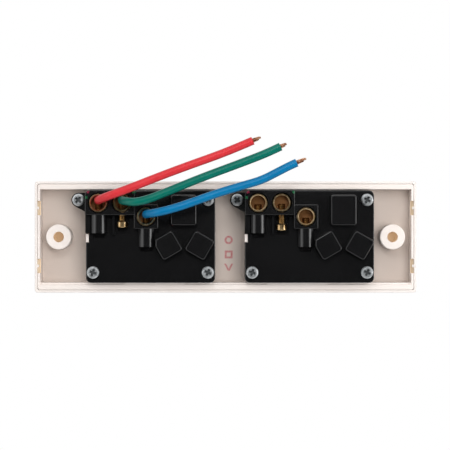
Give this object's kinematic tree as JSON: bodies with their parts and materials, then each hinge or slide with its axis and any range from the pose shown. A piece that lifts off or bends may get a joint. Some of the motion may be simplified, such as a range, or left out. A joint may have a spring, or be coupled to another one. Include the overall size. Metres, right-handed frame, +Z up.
{
  "type": "double wall socket",
  "caption": "Slim switched wall socket plate: clip-on white cover over a tray, black rear mechanism housings, rockers, brass tunnel terminals and short building wires.",
  "frame": {"origin": "on the wall plane (the tray's rear rim), midway between the two wall screws", "axes": "+Z up as fixed to a wall, front faces -Y, +X to the right seen from the front"},
  "size_m": [0.166, 0.0391, 0.0675],
  "materials": {
    "white_cover": "moulded, light satin",
    "white_base": "moulded, satin",
    "white_rocker": "moulded, gloss",
    "black_moulding": "moulded, satin",
    "zinc_screw": "zinc plated",
    "brass": "turned brass",
    "brass_screw": "brass",
    "contact_brass": "pressed strip",
    "nylon": "natural",
    "spring_steel": "drawn wire",
    "red_insulation": "extruded, satin",
    "green_insulation": "extruded, satin",
    "blue_insulation": "extruded, satin",
    "copper": "bare stranded copper"
  },
  "bodies": {
    "socket_body": {"surround_cover": "white_cover", "base_plate": "white_base", "left_rear_housing": "black_moulding", "left_housing_screws": "zinc_screw", "left_active_terminal": "brass", "left_neutral_terminal": "brass", "left_earth_terminal": "brass", "left_terminal_screws": "brass_screw", "left_switch_strip": "contact_brass", "left_active_contact": "contact_brass", "left_neutral_contact": "contact_brass", "left_earth_contact": "contact_brass", "right_rear_housing": "black_moulding", "right_housing_screws": "zinc_screw", "right_active_terminal": "brass", "right_neutral_terminal": "brass", "right_earth_terminal": "brass", "right_terminal_screws": "brass_screw", "right_switch_strip": "contact_brass", "right_active_contact": "contact_brass", "right_neutral_contact": "contact_brass", "right_earth_contact": "contact_brass", "red_wire": "red_insulation", "red_wire_conductor": "copper", "green_wire": "green_insulation", "green_wire_conductor": "copper", "blue_wire": "blue_insulation", "blue_wire_conductor": "copper"},
    "left_rocker_body": {"left_rocker": "white_rocker", "left_plunger": "nylon", "left_plunger_spring": "spring_steel"},
    "left_blade_body": {"left_switch_blade": "contact_brass"},
    "right_rocker_body": {"right_rocker": "white_rocker", "right_plunger": "nylon", "right_plunger_spring": "spring_steel"},
    "right_blade_body": {"right_switch_blade": "contact_brass"}
  },
  "joints": [
    {"name": "left_rocker_tilt", "type": "hinge", "parent": "socket_body", "child": "left_rocker_body", "pos_m": [-0.04435, -0.0107, 0.001], "axis": [1, 0, 0], "range_deg": [0, 14]},
    {"name": "left_blade_tilt", "type": "hinge", "parent": "socket_body", "child": "left_blade_body", "pos_m": [-0.04435, 0.00095, 0.001], "axis": [1, 0, 0], "range_deg": [-14, 0]},
    {"name": "right_rocker_tilt", "type": "hinge", "parent": "socket_body", "child": "right_rocker_body", "pos_m": [0.02415, -0.0107, 0.001], "axis": [1, 0, 0], "range_deg": [0, 14]},
    {"name": "right_blade_tilt", "type": "hinge", "parent": "socket_body", "child": "right_blade_body", "pos_m": [0.02415, 0.00095, 0.001], "axis": [1, 0, 0], "range_deg": [-14, 0]}
  ],
  "couplings": [
    {"joint": "left_blade_tilt", "follows": "left_rocker_tilt", "ratio": -1},
    {"joint": "right_blade_tilt", "follows": "right_rocker_tilt", "ratio": -1}
  ]
}
